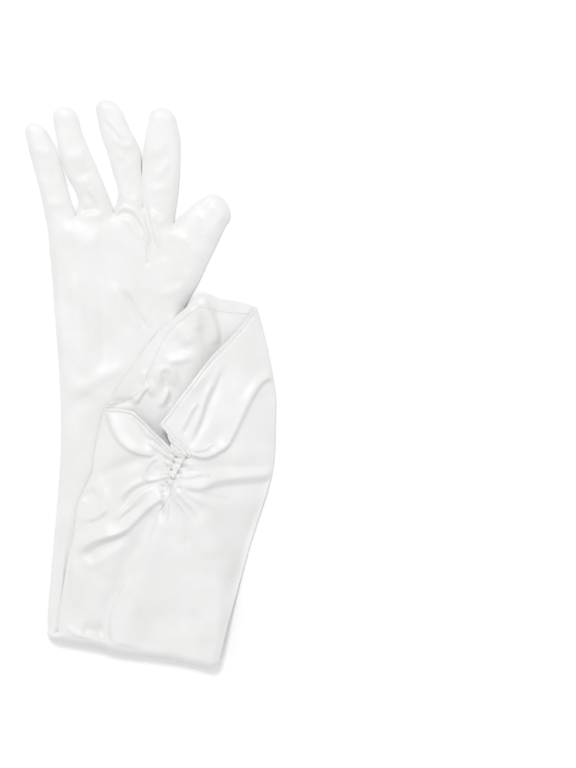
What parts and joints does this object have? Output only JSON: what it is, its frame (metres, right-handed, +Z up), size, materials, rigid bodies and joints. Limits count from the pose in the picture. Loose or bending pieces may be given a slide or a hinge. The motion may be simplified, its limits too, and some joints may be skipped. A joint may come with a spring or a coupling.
{
  "type": "long satin dress glove with a ruched sleeve",
  "caption": "Long white satin dress glove for the left hand, lying flat with its ruched sleeve folded up over the forearm.",
  "frame": {"origin": "under the middle of the glove's box, on the surface it lies on", "axes": "+Y to the fingertips, +Z up through the back of the hand, +X to the thumb's side"},
  "size_m": [0.1612, 0.3664, 0.0213],
  "materials": {
    "satin": "soft satin sheen"
  },
  "bodies": {
    "root": {"palm_panel": "satin", "back_panel": "satin", "thumb": "satin", "little_ring_fourchette": "satin", "ring_middle_fourchette": "satin", "middle_first_fourchette": "satin", "front_hem": "satin", "rear_hem": "satin"}
  },
  "joints": []
}
